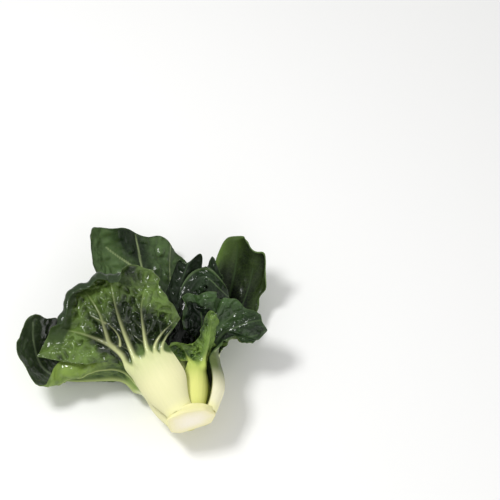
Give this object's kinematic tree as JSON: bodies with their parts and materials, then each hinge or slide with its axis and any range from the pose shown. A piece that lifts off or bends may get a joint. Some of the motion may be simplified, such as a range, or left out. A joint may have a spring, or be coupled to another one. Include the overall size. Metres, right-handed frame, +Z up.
{
  "type": "bok choy",
  "caption": "Small head of leafy bok choy lying on its side, pale fleshy stalks joined at a cut stump and fanning out into dark waved leaves.",
  "frame": {"origin": "centre of the bounding box on the surface it lies on", "axes": "+Z up from the surface, +Y from the cut stump towards the leaf tips, +X to the right as seen from the stump end"},
  "size_m": [0.1672, 0.1596, 0.0862],
  "materials": {
    "stump": "matte, moist cut face",
    "outer_leaf_front": "satin, blistered between pale ribs",
    "outer_leaf_left": "satin, dark inside and lighter outside",
    "outer_leaf_back": "satin, smooth dark inner face",
    "outer_leaf_far": "satin, dark inside with a lighter rim",
    "outer_leaf_right": "satin, crinkled",
    "inner_leaf_lime": "satin, lime",
    "heart_leaf_arched": "satin, crinkled",
    "heart_leaf_left": "satin, crinkled",
    "heart_leaf_right": "satin, crinkled"
  },
  "bodies": {
    "root": {"stump": "stump", "outer_leaf_front": "outer_leaf_front", "outer_leaf_left": "outer_leaf_left", "outer_leaf_back": "outer_leaf_back", "outer_leaf_far": "outer_leaf_far", "outer_leaf_right": "outer_leaf_right", "inner_leaf_lime": "inner_leaf_lime", "heart_leaf_arched": "heart_leaf_arched", "heart_leaf_left": "heart_leaf_left", "heart_leaf_right": "heart_leaf_right"}
  },
  "joints": []
}
